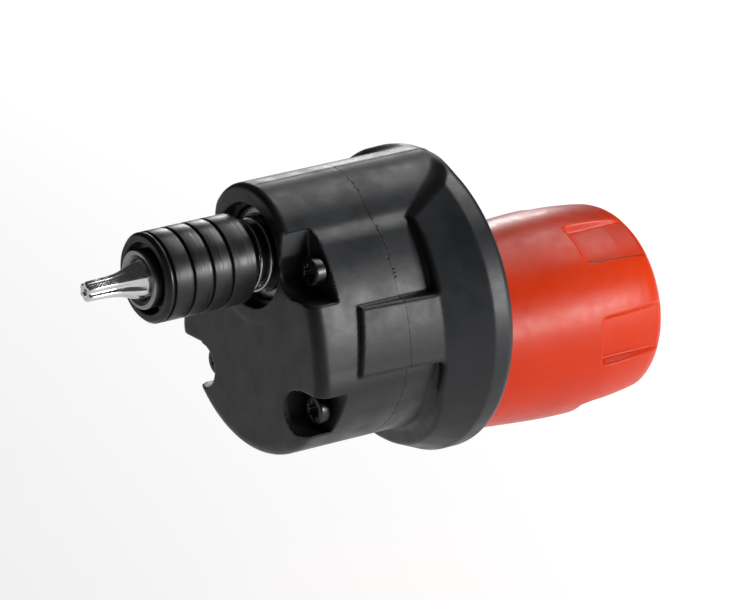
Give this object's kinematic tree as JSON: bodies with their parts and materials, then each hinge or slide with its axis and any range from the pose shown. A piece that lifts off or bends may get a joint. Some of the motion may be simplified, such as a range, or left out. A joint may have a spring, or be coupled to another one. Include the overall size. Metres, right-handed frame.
{
  "type": "offset screwdriving head",
  "caption": "Geared offset head with a quick-release bit holder beside its drive axis, and a barrel collar that locks it on a cordless screwdriver.",
  "frame": {"origin": "centre of the coupling seat plane, on the input axis, where the driver's nose holds the head", "axes": "+X along the input axis towards the driver, +Z from the input axis towards the output axis"},
  "size_m": [0.1077, 0.0524, 0.0525],
  "materials": {
    "black_shell": "fine-grained black moulding",
    "black_sleeve": "satin black",
    "red_collar": "glossy red with a slight orange peel",
    "bit_steel": "polished nickel",
    "holder_steel": "turned dark steel",
    "gear_steel": "ground steel",
    "spring_steel": "drawn wire",
    "black_oxide": "black oxide",
    "bronze": "sintered bronze"
  },
  "bodies": {
    "housing": {"front_housing": "black_shell", "rear_housing": "black_shell", "housing_screw_1": "black_oxide", "housing_screw_2": "black_oxide", "housing_screw_3": "black_oxide", "housing_screw_4": "black_oxide", "nose_ring": "holder_steel", "output_front_bush": "bronze", "output_rear_bush": "bronze", "input_front_bush": "bronze", "input_rear_bush": "bronze", "bush_circlip": "black_oxide", "idler_pin": "gear_steel", "collar_snap_ring": "black_oxide"},
    "drive": {"input_shaft": "gear_steel", "input_gear": "gear_steel", "input_circlip": "black_oxide"},
    "idler": {"idler_gear": "gear_steel"},
    "spindle": {"output_spindle": "holder_steel", "output_gear": "gear_steel", "torx_bit": "bit_steel", "bit_magnet": "gear_steel", "output_circlip": "black_oxide", "spring_washer": "black_oxide", "sleeve_stop_ring": "black_oxide", "sleeve_spring": "spring_steel"},
    "sleeve": {"locking_sleeve": "black_sleeve"},
    "ball": {"lock_ball": "gear_steel"},
    "collar": {"fastening_collar": "red_collar"}
  },
  "joints": [
    {"name": "drive_spin", "type": "hinge", "parent": "housing", "child": "drive", "pos_m": [0, 0, 0], "axis": [1, 0, 0], "continuous": true},
    {"name": "idler_spin", "type": "hinge", "parent": "housing", "child": "idler", "pos_m": [0, 0, 0.01125], "axis": [1, 0, 0], "continuous": true},
    {"name": "output_spin", "type": "hinge", "parent": "housing", "child": "spindle", "pos_m": [0, 0, 0.0225], "axis": [1, 0, 0], "continuous": true},
    {"name": "sleeve_slide", "type": "slide", "parent": "spindle", "child": "sleeve", "axis": [1, 0, 0], "range_m": [0, 0.0025], "stiffness_N_per_m": 800, "springref_m": -0.004, "deforming": ["sleeve_spring"]},
    {"name": "ball_release", "type": "slide", "parent": "spindle", "child": "ball", "axis": [0, 0, 1], "range_m": [0, 0.000825]},
    {"name": "collar_turn", "type": "hinge", "parent": "housing", "child": "collar", "pos_m": [0, 0, 0], "axis": [1, 0, 0], "range_deg": [0, 40]}
  ],
  "couplings": [
    {"joint": "idler_spin", "follows": "drive_spin", "ratio": -1},
    {"joint": "output_spin", "follows": "drive_spin", "ratio": 1},
    {"joint": "ball_release", "follows": "sleeve_slide", "ratio": 0.33}
  ]
}
